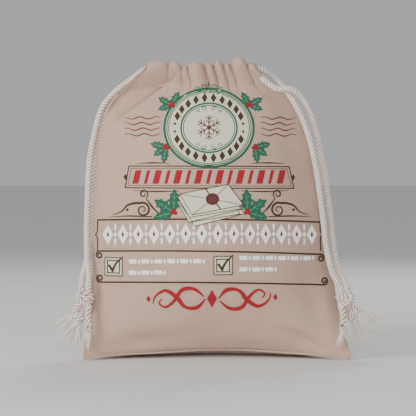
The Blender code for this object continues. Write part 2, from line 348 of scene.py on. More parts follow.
def canvas_material(name, colour, tint=0.08, weave=0.35):
    """Matt cotton canvas in a plain weave, or a flat print on it that lets the weave through."""
    made, tree, shader = new_material(name, colour, 0.88)
    shader.inputs["Sheen Weight"].default_value = 0.18
    shader.inputs["Sheen Roughness"].default_value = 0.5
    shader.inputs["Specular IOR Level"].default_value = 0.22
    place, split = cloth_places(tree)
    threads = [
        maths(tree, "SINE", maths(tree, "MULTIPLY", split.outputs[axis], math.pi * THREADS_PER_MM))
        for axis in ("X", "Y")
    ]
    crossed = maths(tree, "MULTIPLY", *threads)
    stretch = node(tree, "ShaderNodeMapping", Vector=place.outputs["UV"], Scale=(0.12, 1.0, 1.0))
    slub = node(
        tree, "ShaderNodeTexNoise", Vector=stretch.outputs[0], Scale=0.9, Detail=3.0, Roughness=0.6
    )
    blotch = node(
        tree, "ShaderNodeTexNoise", Vector=place.outputs["Object"], Scale=14.0, Detail=4.0,
        Roughness=0.6,
    )
    uneven = maths(tree, "ADD", slub.outputs["Fac"], blotch.outputs["Fac"])
    thread = maths(tree, "MULTIPLY_ADD", crossed, 0.18, uneven)
    ramp = node(
        tree, "ShaderNodeMapRange", Value=thread, From_Min=0.6, From_Max=1.4, To_Min=1 - tint,
        To_Max=1 + tint,
    )
    tone = node(tree, "ShaderNodeVectorMath", operation="SCALE", Scale=ramp.outputs[0])
    tone.inputs[0].default_value = colour
    tree.links.new(tone.outputs[0], shader.inputs["Base Color"])
    add_bump(tree, shader, crossed, weave, 0.25)
    return made


def rope_material(name, colour, shade, groove=(0.09, 0.21), low_spot_shade_share=0.3):
    """Soft cotton: fine yarns twisted within each strand, and painted shade, a pinkish darker
    colour in place of the shade that falls in the grooves between strands, which start a share
    of a turn from a strand's outward side. The last argument is how much of that painted shade
    the lowest spots of the surface take, as painted shade between the yarns."""
    made, tree, shader = new_material(name, colour, 0.85)
    shader.inputs["Sheen Weight"].default_value = 0.2
    shader.inputs["Specular IOR Level"].default_value = 0.2
    place, split = cloth_places(tree)
    around = maths(tree, "MULTIPLY", split.outputs["X"], -2 * math.pi * YARNS_ROUND)
    along = maths(tree, "MULTIPLY_ADD", split.outputs["Y"], 2 * math.pi / YARN_PITCH, around)
    fuzz = node(
        tree, "ShaderNodeTexNoise", Vector=place.outputs["Object"], Scale=700.0, Detail=3.0
    )
    height = maths(tree, "MULTIPLY_ADD", maths(tree, "SINE", along), 0.35, fuzz.outputs["Fac"])
    # painted shade: the strand's sides that turn into the grooves, from groove[0] to groove[1] of a
    # turn, take the darker colour
    deep = node(
        tree, "ShaderNodeMapRange", Value=split.outputs["X"], From_Min=groove[0],
        From_Max=groove[1],
    )
    # painted shade: the low spots between the twisted yarns, made uneven by the fuzz noise, take up
    # to the last argument's share of the darker colour
    low_spot_shade = node(
        tree, "ShaderNodeMapRange", Value=height, From_Min=0.75, From_Max=0.15, To_Max=low_spot_shade_share
    )
    most = maths(tree, "MAXIMUM", deep.outputs[0], low_spot_shade.outputs[0])
    # the rope's own colour, mixed towards the painted shade where either mask is high
    mix = node(tree, "ShaderNodeMix", data_type="RGBA", Factor=most)
    mix.inputs["A"].default_value = (*colour, 1.0)
    mix.inputs["B"].default_value = (*shade, 1.0)
    tree.links.new(mix.outputs["Result"], shader.inputs["Base Color"])
    add_bump(tree, shader, height, 0.6, 0.3)
    return made


# ------------------------------------------------ camera, light and floor
CAMERA_PLACE = (-9.2, -1670.0, 200.0)
CAMERA_LENS = 129.808             # on a sensor 36 mm wide
CAMERA_TILT = math.radians(1.2221)


def make_camera():
    data = bpy.data.cameras.new("camera")
    data.sensor_width = 36.0
    data.lens = CAMERA_LENS
    data.clip_start = 0.05
    camera = bpy.data.objects.new("camera", data)
    camera.location = Vector(CAMERA_PLACE) * MM
    camera.rotation_euler = (math.pi / 2 - CAMERA_TILT, 0, 0)
    bpy.context.scene.collection.objects.link(camera)
    bpy.context.scene.camera = camera


def add_area_light(name, place, aim, size, power, colour=(1, 1, 1)):
    data = bpy.data.lights.new(name, "AREA")
    data.shape = "DISK"
    data.size = size
    data.energy = power
    data.color = colour
    lamp = bpy.data.objects.new(name, data)
    lamp.location = place
    lamp.rotation_euler = (Vector(aim) - Vector(place)).to_track_quat("-Z", "Y").to_euler()
    bpy.context.scene.collection.objects.link(lamp)


def make_studio():
    world = bpy.data.worlds.new("studio")
    bpy.context.scene.world = world
    world.use_nodes = True
    backdrop = world.node_tree.nodes["Background"]
    backdrop.inputs["Color"].default_value = (0.92, 0.93, 0.95, 1)
    backdrop.inputs["Strength"].default_value = 0.48
    add_area_light("key", (-1.2, -1.05, 0.80), (0, 0, 0.15), 0.7, 17.0, (1.0, 0.985, 0.96))
    add_area_light("fill", (-0.1, -1.7, 0.38), (0, 0, 0.0), 0.7, 14.5, (1.0, 0.985, 0.96))
    add_area_light("rim", (0.4, 1.2, 1.2), (0, 0, 0.2), 0.9, 10.0)
    made, _, _ = new_material("pale_floor", FLOOR, 0.9)
    extent = 30000.0
    corners = [
        (-extent, -extent, 0), (extent, -extent, 0), (extent, extent, 0), (-extent, extent, 0),
    ]
    floor = make_mesh("floor", corners, [(0, 1, 2, 3)], made)


# ------------------------------------------------ cloth
def gather_profile(gathers, x):
    """For each x along the mouth: its height, how far it stands out, and how far down it runs."""
    edges = np.array([RIM_LEFT] + [g[0] for g in gathers])
    crowns = np.array([g[1] for g in gathers])
    depths = np.array([g[2] for g in gathers])
    lengths = np.array([g[3] for g in gathers])
    k = np.clip(np.searchsorted(edges, x, side="right") - 1, 0, len(gathers) - 1)
    across = np.clip((x - edges[k]) / (edges[k + 1] - edges[k]) * 2 - 1, -1, 1)
    arch = np.sqrt(1 - across * across)
    beside = np.clip(np.where(across < 0, k - 1, k + 1), 0, len(gathers) - 1)
    valley = np.minimum(crowns[k], crowns[beside]) - VALLEY_DROP
    height = valley + (crowns[k] - valley) * arch ** 0.8
    near = 0.5 * np.abs(across) ** 3
    out = GATHER_GAIN * depths[k] * (arch - GATHER_SINK)
    reach = lengths[k] * (1 - near) + lengths[beside] * near
    return height, out, reach


def station_rows(count):
    """Seams and middles at even steps from the bottom seam to the casing."""
    last = len(STATIONS) - 1
    columns = list(zip(*STATIONS))
    rows = []
    for n in range(count):
        position = last * n / (count - 1)
        left, right, front, back = (smooth(column, position) for column in columns)
        tilt = SEAM_TILT * max(0.0, 1 - position / UPRIGHT_FROM)
        rows.append((left, right, front, back, math.cos(tilt), math.sin(tilt)))
    return rows


def bottom_lift(x):
    """How far the middle of the bottom seam stands up off the floor, beyond its stations."""
    return SEAM_RISE * np.exp(-(((x - 8) / 62) ** 2))


def soft_noise(x, z, scale, seed):
    """Smooth noise from -1 to 1 over a grid of points."""
    flat = [
        noise.noise(Vector((a / scale, b / scale, seed))) for a, b in zip(x.ravel(), z.ravel())
    ]
    return np.array(flat).reshape(x.shape)


def crease(x, z, start, end, depth, width, sharp=1.0):
    """A fold along a line: nothing on its right-hand side, a sharp step and a slow return on its
    left-hand side, fading at both ends."""
    a, b = np.array(start, float), np.array(end, float)
    along = (b - a) / np.linalg.norm(b - a)
    share = ((x - a[0]) * along[0] + (z - a[1]) * along[1]) / np.linalg.norm(b - a)
    off = -(x - a[0]) * along[1] + (z - a[1]) * along[0]
    fade = ease(share / 0.25) * ease((1.12 - share) / 0.2)
    return depth * fade * ease(off / sharp) * np.exp(-np.clip(off, 0, None) / width)


def dent(x, z, centre, size, depth, turn=0.0):
    """A smooth hollow, or a swelling if depth is negative, with its long way turned."""
    c, s = math.cos(turn), math.sin(turn)
    along = ((x - centre[0]) * c + (z - centre[1]) * s) / size[0]
    off = (-(x - centre[0]) * s + (z - centre[1]) * c) / size[1]
    return depth * np.exp(-(along * along + off * off))


def relief(x, z, creases, dents):
    """How far the cloth lies inside its smooth shape, in millimetres."""
    found = np.zeros_like(x)
    for facts in creases:
        found += crease(x, z, *facts)
    for facts in dents:
        found += dent(x, z, *facts)
    return found


def across_shape(u):
    """For u from 0 at the left seam to 1 at the right: how far across a point lies, how far it
    swells out, and how far it has left the flat middle for the seam's height."""
    angle = (u - 0.5) * math.pi
    swell = np.clip(np.cos(angle), 0, None)
    fall = np.clip((1 - swell - FLAT_SHARE) / (1 - FLAT_SHARE), 0, None) ** 1.5
    return (1 + np.sin(angle)) / 2, swell ** SWELL_POWER, fall


def cloth_points(back):
    """Rows of points from the bottom seam, up the outside, over the mouth's edge and down the
    casing's lining, with the cloth's own flat coordinates."""
    gathers = BACK_GATHERS if back else FRONT_GATHERS
    creases = BACK_CREASES if back else FRONT_CREASES
    dents = BACK_DENTS if back else FRONT_DENTS
    sign = 1.0 if back else -1.0
    u = np.linspace(0, 1, COLUMNS + 1)
    share, swell, fall = across_shape(u)
    rows = []
    for n, (left, right, front, rear, level, rise) in enumerate(station_rows(BODY_ROWS)):
        middle = rear if back else front
        x = left[0] + (right[0] - left[0]) * share
        edge_y = left[1] + (right[1] - left[1]) * share + sign * level * SEAM_SPREAD
        edge_z = left[2] + (right[2] - left[2]) * share - sign * rise * SEAM_SPREAD
        y = edge_y + (middle[0] - edge_y) * swell
        z = middle[1] + (edge_z - middle[1]) * fall
        z += bottom_lift(x) * (1 - ease(n / LIFTED_ROWS))
        rows.append(np.stack([x, y, z], axis=1))
    body = np.array(rows)
    body[:, :, 1] += (sign * 17 - body[:, :, 1]) * (
        ease((body[:, :, 2] - 288) / 20) * np.abs(2 * share - 1)[None, :] ** 4
    )
    neck = body[-1]

    rim_x = RIM_LEFT + (RIM_RIGHT - RIM_LEFT) * share
    height, out, reach = gather_profile(gathers, rim_x)
    upper = []
    for n in range(1, CASING_ROWS + 1):
        t = n / CASING_ROWS
        x = neck[:, 0] + (rim_x - neck[:, 0]) * ease(t * 0.9)
        y = neck[:, 1] + (sign * CASING_OUT - neck[:, 1]) * ease(t * 1.2)
        z = neck[:, 2] + (height - RIM_HEIGHT - neck[:, 2]) * t
        upper.append(np.stack([x, y, z], axis=1))
    outside = np.concatenate([body, np.array(upper)])
    y = outside[:, :, 1]
    for _ in range(40):
        y[BODY_ROWS - 22:-8] = (
            y[BODY_ROWS - 23:-9] + y[BODY_ROWS - 22:-8] + y[BODY_ROWS - 21:-7]
        ) / 3

    if not back:
        flap = np.exp(-(((outside[:, :, 2] - 306.5) / 8.5) ** 2))
        outside[:, :, 0] -= 13.0 * flap * np.clip(1 - u / 0.45, 0, 1)[None, :] ** 2

    # relief, gathers and slight unevenness, fading at the seams
    x, z = outside[:, :, 0], outside[:, :, 2]
    inside = ease(np.minimum(u, 1 - u) / 0.06)[None, :]
    low = ease((z - 1.5) / 10.0)
    sink = relief(x, z, creases, dents) * inside * low
    sink += 1.3 * soft_noise(x, z, 52.0, 3.1 + back) * inside * low
    sink += 0.45 * soft_noise(x, z, 19.0, 7.7 + back) * inside * low
    below = (height - RIM_HEIGHT)[None, :] - z
    run = np.clip(1 - below / (reach[None, :] * 1.15), 0, 1)
    ends = ease(u / 0.02) * ease((1 - u) / 0.02)
    outside[:, :, 1] += sign * out[None, :] * run * ends
    outside[:, :, 1] -= sign * sink
    outside[:, :, 2] = np.maximum(outside[:, :, 2], 0.25)

    # over the edge and down the lining
    top = outside[-1]
    inner = sign * (LINING_OUT + 0.2 * out)
    rim = []
    for n in range(1, RIM_ROWS + 1):
        a = math.pi * n / RIM_ROWS
        y = (top[:, 1] + inner) / 2 + (top[:, 1] - inner) / 2 * math.cos(a)
        z = top[:, 2] + RIM_HEIGHT * math.sin(a)
        rim.append(np.stack([top[:, 0], y, z], axis=1))
    lining = []
    lined = rim[-1]
    for n in range(1, LINING_ROWS + 1):
        t = n / LINING_ROWS
        y = lined[:, 1] + (sign * 4.0 - lined[:, 1]) * ease(t)
        lining.append(np.stack([lined[:, 0], y, lined[:, 2] - 25.0 * t], axis=1))
    return np.concatenate([outside, np.array(rim), np.array(lining)])


def add_cloth(name, back, finish):
    points = cloth_points(back)
    rows, columns, _ = points.shape
    reach = np.cumsum(np.linalg.norm(np.diff(points, axis=0), axis=2), axis=0)
    middle = np.concatenate([[0], reach[:, columns // 2]])
    flat_x = np.linspace(0, 300, columns)
    uv = np.stack(np.broadcast_arrays(flat_x[None, :], middle[:, None]), axis=2).reshape(-1, 2)
    faces = grid_faces(rows, columns)
    if back:
        faces = [f[::-1] for f in faces]
    return make_mesh(name, points.reshape(-1, 3), faces, finish, uv)


# ------------------------------------------------ seams
def seam_line(side):
    """Points up one side seam, from the bottom corner to the casing."""
    rows = station_rows(60)[:55]
    return np.array([row[side] for row in rows])


def add_seams(finish):
    for name, side, outwards in (("left_side_seam", 0, -1), ("right_side_seam", 1, 1)):
        path = even_points(seam_line(side) + (0.5 * outwards, 0, 0.4), 1.5)
        reach = np.linspace(0, reach_along(path)[-1], len(path))
        radius = 1.15 + 0.12 * np.sin(reach / 2.6)
        piece = add_tubes(name + "_edge", [(path, radius, 10)], finish)
        settle(piece, "cotton_canvas", name, body="sack")
    left, right, front, _, level, _ = station_rows(2)[0]
    share, swell, fall = across_shape(np.linspace(0, 1, 160))
    path = left + (right - left) * share[:, None]
    path[:, 1] += (front[0] - left[1]) * swell - level * SEAM_SPREAD
    path[:, 2] = front[1] + (path[:, 2] - front[1]) * fall + bottom_lift(path[:, 0]) - 0.5
    path[:, 2] = np.maximum(path[:, 2], 1.2)
    path = even_points(path, 1.5)
    edge = add_tubes("bottom_seam_edge", [(path, 1.15, 10)], finish)
    settle(edge, "cotton_canvas", "bottom_seam", body="sack")


# ------------------------------------------------ knots and tassels
def wound_knot(centre, halves, axis, turns, radius, phase=0.0):
    """A rope wound round and round into a ball: its centreline, from one end to the other."""
    count = int(60 * turns)
    t = np.linspace(-1, 1, count)
    angle = phase + math.pi * turns * (t + 1)
    waist = np.sqrt(np.clip(1 - (0.86 * t) ** 2, 0.02, 1))
    z = np.array(axis, float) / np.linalg.norm(axis)
    x = np.cross(z, (0.0, 1.0, 0.0))
    x /= np.linalg.norm(x)
    y = np.cross(z, x)
    wide, deep, tall = (h - radius for h in halves)
    return (
        np.array(centre) + (wide * waist * np.cos(angle))[:, None] * x
        + (deep * waist * np.sin(angle))[:, None] * y + (tall * t)[:, None] * z
    )


def yarns(chance, root, root_radius, tips, count, spread, radius=0.42, sag=1.5):
    """Loose yarns from a root to each tip in turn, wavy and uneven."""
    found = []
    root = np.array(root, float)
    for k in range(count):
        tip = np.array(tips[k % len(tips)], float) + chance.normal(0, spread, 3)
        tip = root + (tip - root) * chance.uniform(0.72, 1.06)
        begin = root + chance.normal(0, root_radius, 3)
        t = np.linspace(0, 1, 12)[:, None]
        path = begin + (tip - begin) * t
        wave = chance.normal(0, 1, 3)
        path += np.sin(t * chance.uniform(5, 9) + chance.uniform(0, 6)) * wave * 0.5 * t
        path[:, 2] += sag * np.sin(math.pi * t[:, 0]) * chance.uniform(0.2, 1.0)
        path[:, 2] = np.maximum(path[:, 2], 0.6)
        thin = radius * (1 - 0.35 * t[:, 0]) * chance.uniform(0.8, 1.15)
        found.append((path, thin, 5))
    return found


def strands_of(path, radius, lay):
    """The three strands of a rope along a centreline that is already dense."""
    return rope_tubes(path[:: max(1, len(path) // 80)], radius, lay, 1.0, 8)


# Each cord end, measured outwards from the sack's middle, then y and z.
CORD_ENDS = {
    "left": {
        "sign": -1, "knot": (143.0, -35, 66), "end_knot": (149.0, -35.5, 45.5),
        "flick": ((173.5, -36, 41), (170.5, -35, 33.5)),
        "fan": ((170.0, -36, 22.5), (160.5, -38, 18), (153.0, -38, 19.5), (147.5, -38, 20)),
        "inner": ((137.6, -49.5, 37), (138.6, -51, 14.5), (143.5, -48, 22)),
    },
    "right": {
        "sign": 1, "knot": (140.0, -35, 66), "end_knot": (147.0, -35.5, 48),
        "flick": ((176.0, -36, 47), (172.5, -35, 40)),
        "fan": ((171.0, -36, 27), (165.5, -36, 23), (157.0, -38, 19.5), (149.0, -38, 22.5)),
        "inner": ((136.4, -49.5, 38.5), (133.0, -51, 16.5), (141.0, -48, 25)),
    },
}


def add_cord_end(side, finish, yarn):
    """The joining knot, its two tails with their own knots, and their frayed bunches."""
    facts = CORD_ENDS[side]
    sign = facts["sign"]
    chance = np.random.default_rng(7 if side == "left" else 11)

    def place(point):
        return np.array((sign * point[0], point[1], point[2]), float)

    def put(name, tubes, body, replaced, material=finish):
        piece = add_tubes(f"{side}_{name}", tubes, material)
        settle(piece, "cotton_cord", f"{side}_{replaced}", body=f"{side}_{body}")
        pieces.append(piece)

    pieces = []
    knot, end_knot = place(facts["knot"]), place(facts["end_knot"])
    band = wound_knot(knot, (10.4, 8.6, 8.4), (0.42 * sign, -0.25, 1), 2.3, 3.3, 0.8)
    tubes = strands_of(band, 3.3, 11.0)
    over = [
        knot + (5.5 * sign, -3.5, 7), knot + (7.6 * sign, -6, 1.5), knot + (3.5 * sign, -8.2, -3),
        knot + (-3.5 * sign, -7.5, -6.5), knot + (-5 * sign, -5.5, -11),
    ]
    tubes += strands_of(even_points(over, 1.0), 3.2, 11.0)
    put("joining_knot_wraps", tubes, "cords", "joining_knot")

    tail, tip, short_tip = (place(p) for p in facts["inner"])
    start = knot + (-4.5 * sign, -6, -6)
    bend = (start + tail) / 2 + (1.3 * sign, -1.5, 0)
    tubes = rope_tubes((start, bend, tail), 3.6, 14.5)
    put("inner_tail_rope", tubes, "inner_end", "inner_tail")
    middle = tail + (0.4 * sign, -0.6, -3.6)
    small = wound_knot(middle, (4.7, 4.5, 3.9), (0.5 * sign, 0, 1), 1.6, 2.2, 2.0)
    put("inner_end_knot_wraps", strands_of(small, 2.2, 8.0), "inner_end", "inner_end_knot")
    loose = yarns(chance, middle + (0, 0, -1.5), 1.5, (tip,), 34, 2.1, 0.55)
    loose += yarns(chance, middle + (1.8 * sign, 0, -1), 1.0, (short_tip,), 18, 2.2, 0.5)
    put("inner_tassel_yarns", loose, "inner_end", "inner_tassel", yarn)

    start = knot + (2.5 * sign, 0.5, -5)
    loop = (
        start, knot + (8.6 * sign, -2, -8.5), end_knot + (5.4 * sign, -1.5, 6.5),
        end_knot + (3.0 * sign, -1, 1),
    )
    short = (
        knot + (-1.5 * sign, 1.5, -6), (knot + end_knot) / 2 + (0, 1.5, -2),
        end_knot + (0.5 * sign, 1, 2),
    )
    tubes = rope_tubes(loop, 3.1, 11.0) + rope_tubes(short, 3.1, 11.0)
    put("outer_tail_rope", tubes, "outer_end", "outer_tail")
    ball = wound_knot(end_knot, (7.6, 7.0, 7.2), (0.85 * sign, 0.1, 0.5), 2.6, 2.9, 1.1)
    put("outer_end_knot_wraps", strands_of(ball, 2.9, 9.0), "outer_end", "outer_end_knot")
    root = end_knot + (6.5 * sign, 0, 1)
    tips = [place(p) for p in facts["flick"]]
    loose = yarns(chance, root, 1.7, tips, 44, 1.8, 0.6, 2.5)
    put("outer_flick_yarns", loose, "outer_end", "outer_flick_tassel", yarn)
    root = end_knot + (1.5 * sign, 0, -5)
    tips = [place(p) for p in facts["fan"]]
    loose = yarns(chance, root, 2.3, tips, 64, 1.5, 0.6, 1.0)
    put("outer_fan_yarns", loose, "outer_end", "outer_fan_tassel", yarn)
    return pieces


# ------------------------------------------------ cords
def add_cords(finish):
    """The hidden stretch in each casing, and the free runs, which bend where they leave it."""
    for cord in ("front", "back"):
        routes = [CORD_ROUTES[f"{cord}_cord_{side}_run"] for side in ("left", "right")]
        sign = -1 if cord == "front" else 1
        a, b = (np.array(route[0], float) for route in routes)
        inside = [a + (b - a) * t + (0, -1.8 * sign, 0) for t in (0.11, 0.35, 0.65, 0.89)]
        hidden = add_tubes(f"{cord}_casing_rope", rope_tubes(inside, SQUEEZED_RADIUS), finish)
        settle(hidden, "cotton_cord", f"{cord}_cord_casing_run", body=f"{cord}_mouth")
        for side, route, far in (("left", routes[0], b), ("right", routes[1], a)):
            exit_place = np.array(route[0], float)
            back = (far - exit_place) / np.linalg.norm(far - exit_place)
            place = CORD_ENDS[side]["knot"]
            outwards = -1 if side == "left" else 1
            into = (route[-1][0] * 0.45 + outwards * place[0] * 0.55, place[1], place[2] + 1)
            points = [exit_place + back * 12 + (0, -1.5 * sign, 0), *route, into]
            piece = add_tubes(f"{cord}_{side}_rope", rope_tubes(points), finish)
            settle(piece, "cotton_cord", f"{cord}_cord_{side}_run")
            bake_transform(piece)


# ------------------------------------------------ print
# Plain motifs in place of every word and figure. They are drawn in the front view, as (x, z) in
# millimetres, and laid on the cloth afterwards.
PRINT_MIDDLE = -6.5               # the motifs mirror about this x
PRINT_RISE = 3.6                  # lines low on the belly bow upwards by this much
PRINT_STEP = 1.5
CURL_RADIUS = 4.2
PRINT_LIFT, LAYER_LIFT = 0.28, 0.12


class Ink:
    """One colour of the print: loose ribbons and patches, with the layer that each lies in."""

    def __init__(self, name, colour):
        self.name, self.colour = name, colour
        self.points, self.layers, self.faces = [], [], []

    def add(self, points, faces, layer):
        first = len(self.points)
        self.points.extend(points)
        self.layers.extend([layer] * len(points))
        self.faces.extend(tuple(first + k for k in face) for face in faces)

    def stroke(self, points, width, layer=1, closed=False):
        """A ribbon along a smooth curve. width is a number, or numbers spread along it."""
        points = np.array([(p[0], p[1], 0) for p in points], float)
        if closed:
            points = np.concatenate([points, points[:1]])
        path = even_points(points, PRINT_STEP)[:, :2]
        along = np.gradient(path, axis=0)
        if closed:
            along[0] = along[-1] = path[1] - path[-2]
        along /= np.linalg.norm(along, axis=1)[:, None] + 1e-9
        across = np.stack([-along[:, 1], along[:, 0]], axis=1)
        widths = np.atleast_1d(np.array(width, float))
        half = np.interp(np.linspace(0, 1, len(path)), np.linspace(0, 1, len(widths)), widths) / 2
        lanes = max(2, int(max(widths) / 1.6) + 2)
        rows = [
            path[k] + across[k] * half[k] * side
            for k in range(len(path)) for side in np.linspace(-1, 1, lanes)
        ]
        self.add([tuple(p) for p in rows], grid_faces(len(path), lanes), layer)

    def line(self, points, width, layer=1):
        """Straight strokes from point to point."""
        for a, b in zip(points, points[1:]):
            a, b = np.array(a, float), np.array(b, float)
            reach = max(np.linalg.norm(b - a), 1e-6)
            over = (b - a) / reach * (np.max(width) / 2)
            count = max(2, int(reach / 6))
            whole = b - a + 2 * over
            self.stroke([a - over + whole * k / count for k in range(count + 1)], width, layer)

    def patch(self, outline, layer=0):
        """A filled shape that its own middle can see all of."""
        outline = np.array(outline, float)
        ring = np.concatenate([outline, outline[:1]])
        fine = []
        for a, b in zip(ring, ring[1:]):
            count = max(1, int(np.linalg.norm(b - a) / 2.5))
            fine.extend(a + (b - a) * k / count for k in range(count))
        fine = np.array(fine)
        middle = outline.mean(axis=0)
        rings = max(2, int(np.max(np.linalg.norm(fine - middle, axis=1)) / 2.2))
        rows = [middle + (fine - middle) * k / rings for k in range(rings, 0, -1)]
        points = [tuple(p) for row in rows for p in row] + [tuple(middle)]
        faces = grid_faces(rings, len(fine), wrap=True)
        last = (rings - 1) * len(fine)
        faces += [(last + k, last + (k + 1) % len(fine), len(points) - 1) for k in range(len(fine))]
        self.add(points, faces, layer)


INKS = {
    name: Ink(name, colour)
    for name, colour in (
        ("dark_brown", DARK_BROWN), ("green", GREEN), ("mid_green", MID_GREEN),
        ("cream", CREAM), ("red", RED), ("maroon", MAROON), ("white", WHITE),
    )
}


def mirrored(points):
    return [(2 * PRINT_MIDDLE - p[0], p[1]) for p in points]


def both_sides(draw, points, *words):
    draw(points, *words)
    draw(mirrored(points), *words)


def oval(centre, across, up, count=72):
    angle = np.linspace(0, 2 * math.pi, count, endpoint=False)
    return [(centre[0] + across * math.cos(a), centre[1] + up * math.sin(a)) for a in angle]


def curl(centre, radius, start, turns, end_share=0.25):
    """Points of a spiral from its outer end inwards, start in degrees, turns signed."""
    count = max(8, int(abs(turns) * 14))
    found = []
    for k in range(count + 1):
        t = k / count
        reach = radius * (1 - t * (1 - end_share))
        angle = math.radians(start) + 2 * math.pi * turns * t
        found.append((centre[0] + reach * math.cos(angle), centre[1] + reach * math.sin(angle)))
    return found


def bowed(x, z):
    """A line low on the belly is a little higher in its middle."""
    share = ease((190 - z) / 50)
    return x, z + PRINT_RISE * share * (1 - ((x - PRINT_MIDDLE) / 130) ** 2)


def lozenge(x, z, half_wide, half_tall):
    return [(x - half_wide, z), (x, z - half_tall), (x + half_wide, z), (x, z + half_tall)]


def leaf(ink, vein, root, degrees, length):
    """A spiky holly leaf with a pale middle vein."""
    along = np.array((math.cos(math.radians(degrees)), math.sin(math.radians(degrees))))
    across = np.array((-along[1], along[0]))
    root = np.array(root, float)
    sides = []
    for side in (1, -1):
        edge = []
        for k in range(13):
            t = k / 12
            spike = 1.0 if k % 3 == 0 else 0.62 if k % 3 == 1 else 0.7
            wide = 0.30 * length * math.sin(math.pi * min(1, t * 0.96 + 0.04)) ** 0.8 * spike
            edge.append(root + along * length * t + across * side * wide)
        sides.append(edge)
    outline = sides[0] + sides[1][::-1]
    INKS[ink].patch(outline, 2)
    INKS[vein].stroke(
        [root + along * length * t for t in (0.1, 0.5, 0.9)], (0.9, 0.35), 3
    )
    for t in (0.35, 0.6):
        for side in (1, -1):
            spot = root + along * length * t
            tip = spot + along * length * 0.14 + across * side * length * 0.15
            INKS[vein].stroke([spot, (spot + tip) / 2, tip], (0.5, 0.25), 3)


def holly(root, directions, length):
    for k, degrees in enumerate(directions):
        leaf("green", "mid_green", root, degrees, length * (1 - 0.08 * (k % 2)))
    for dx, dz in ((-1.9, -0.6), (1.9, -0.8), (0, 2.0)):
        INKS["maroon"].patch(oval((root[0] + dx, root[1] + dz), 2.1, 2.1, 14), 4)
        INKS["red"].patch(oval((root[0] + dx, root[1] + dz), 1.6, 1.6, 14), 5)


def holly_pair(root, directions, length):
    holly(root, directions, length)
    holly(mirrored([root])[0], [180 - d for d in directions], length)


def draw_roundel():
    centre, wide, tall = (-8.1, 252.5), 48.5, 43.2
    INKS["cream"].patch(oval(centre, wide, tall), 0)
    green = INKS["green"]
    for share, width in ((1.0, 2.6), (0.945, 1.2), (0.905, 0.9)):
        green.stroke(oval(centre, wide * share, tall * share), width, 1, True)
    inner_wide, inner_tall = 30.4, 27.0
    green.stroke(oval(centre, inner_wide, inner_tall), 1.9, 1, True)
    green.stroke(oval(centre, inner_wide - 2.4, inner_tall - 2.3), 1.0, 1, True)
    # lozenges and dots round the band between the rings
    for k in range(24):
        angle = math.radians(15 * k + 7.5)
        x = centre[0] + 0.5 * (wide * 0.915 + inner_wide) * math.cos(angle)
        z = centre[1] + 0.5 * (tall * 0.915 + inner_tall) * math.sin(angle)
        if abs(math.cos(angle)) < 0.93:
            INKS["dark_brown"].patch(lozenge(x, z, 3.3, 5.3), 2)
        else:
            green.patch(oval((x, z), 1.5, 1.5, 12), 2)
    # small scrolls inside the inner ring, and a crown of scrolls over the roundel
    x = centre[0]
    for up in (1, -1):
        z = centre[1] + up * (inner_tall - 6.0)
        for side in (1, -1):
            near = curl((x + side * 5.0, z), 3.0, 90 - side * 90, up * side * 1.1)
            green.stroke(near, (1.1, 0.5), 2)
            far = curl((x + side * 11.5, z - up * 1.4), 2.4, 90 - side * 90, -up * side * 1.0)
            green.stroke(far, (1.0, 0.5), 2)
    for side in (1, -1):
        near = curl((x + side * 5.0, 297.5), 3.4, 90 - side * 90, side * 1.2)
        green.stroke(near, (1.2, 0.5), 2)
        far = curl((x + side * 13.0, 295.6), 2.8, 90 + side * 90, -side * 1.1)
        green.stroke(far, (1.1, 0.5), 2)
        green.stroke(
            [(x + side * 3, 295.5), (x + side * 11, 293.2), (x + side * 22, 292.6)],
            (0.5, 1.0, 0.4), 2,
        )
    green.patch(lozenge(centre[0], 300.5, 1.2, 3.4), 3)
    # snowflake
    for k in range(6):
        angle = math.radians(60 * k + 30)
        way = np.array((math.cos(angle), math.sin(angle)))
        over = np.array((-way[1], way[0]))
        middle = np.array(centre)
        INKS["maroon"].line([middle, middle + way * 13], 1.2, 2)
        for t in (5.0, 9.0):
            for side in (1, -1):
                tip = middle + way * (t + 3.2) + over * side * 3.4
                INKS["maroon"].line([middle + way * t, tip], 0.9, 2)
    INKS["maroon"].patch(oval(centre, 2.2, 2.2, 16), 3)
    # cancelling waves to either side
    for k in range(4):
        z = 245.0 + 6.2 * k
        wave = [(-101 + 3.6 * n, z + 1.3 * math.sin(n * 1.25 + 0.6 * k)) for n in range(12)]
        both_sides(INKS["maroon"].stroke, wave, (0.5, 1.2, 1.2, 0.7), 1)
    holly_pair((-49.0, 277.5), (150, 198, 62), 17.0)
    holly_pair((-55.0, 231.0), (166, 214, 262), 17.5)


def draw_top_banner():
    brown = INKS["dark_brown"]
    outer = [(-95.5, 210.8), (79.5, 210.2), (84.6, 186.5), (-99.5, 187.2), (-95.5, 210.8)]
    brown.line(outer, 1.15)
    inner = [(-92.8, 208.4), (77.0, 207.8), (81.6, 189.0), (-96.4, 189.6), (-92.8, 208.4)]
    brown.line(inner, 0.55)
    for x, z in ((-99.3, 199.0), (83.8, 198.4)):
        brown.patch(lozenge(x, z, 2.2, 3.6), 2)
    both_sides(brown.stroke, [(-88, 213.6), (-70, 214.2), (-51, 213.8)], (0.3, 1.5, 0.6))
    both_sides(brown.stroke, [(-92, 184.4), (-66, 183.2), (-40, 184.0)], (0.3, 1.5, 0.6))
    # slanted bars in the banner
    pitch = 11.2
    for k in range(15):
        x = -86.5 + pitch * k
        half = 3.4 if k % 2 == 0 else 1.7
        foot, head = 191.6, 206.2
        bar = [(x - half - 1.8, foot), (x + half - 1.8, foot)]
        bar += [(x + half + 1.8, head), (x - half + 1.8, head)]
        INKS["red"].patch(bar, 2)


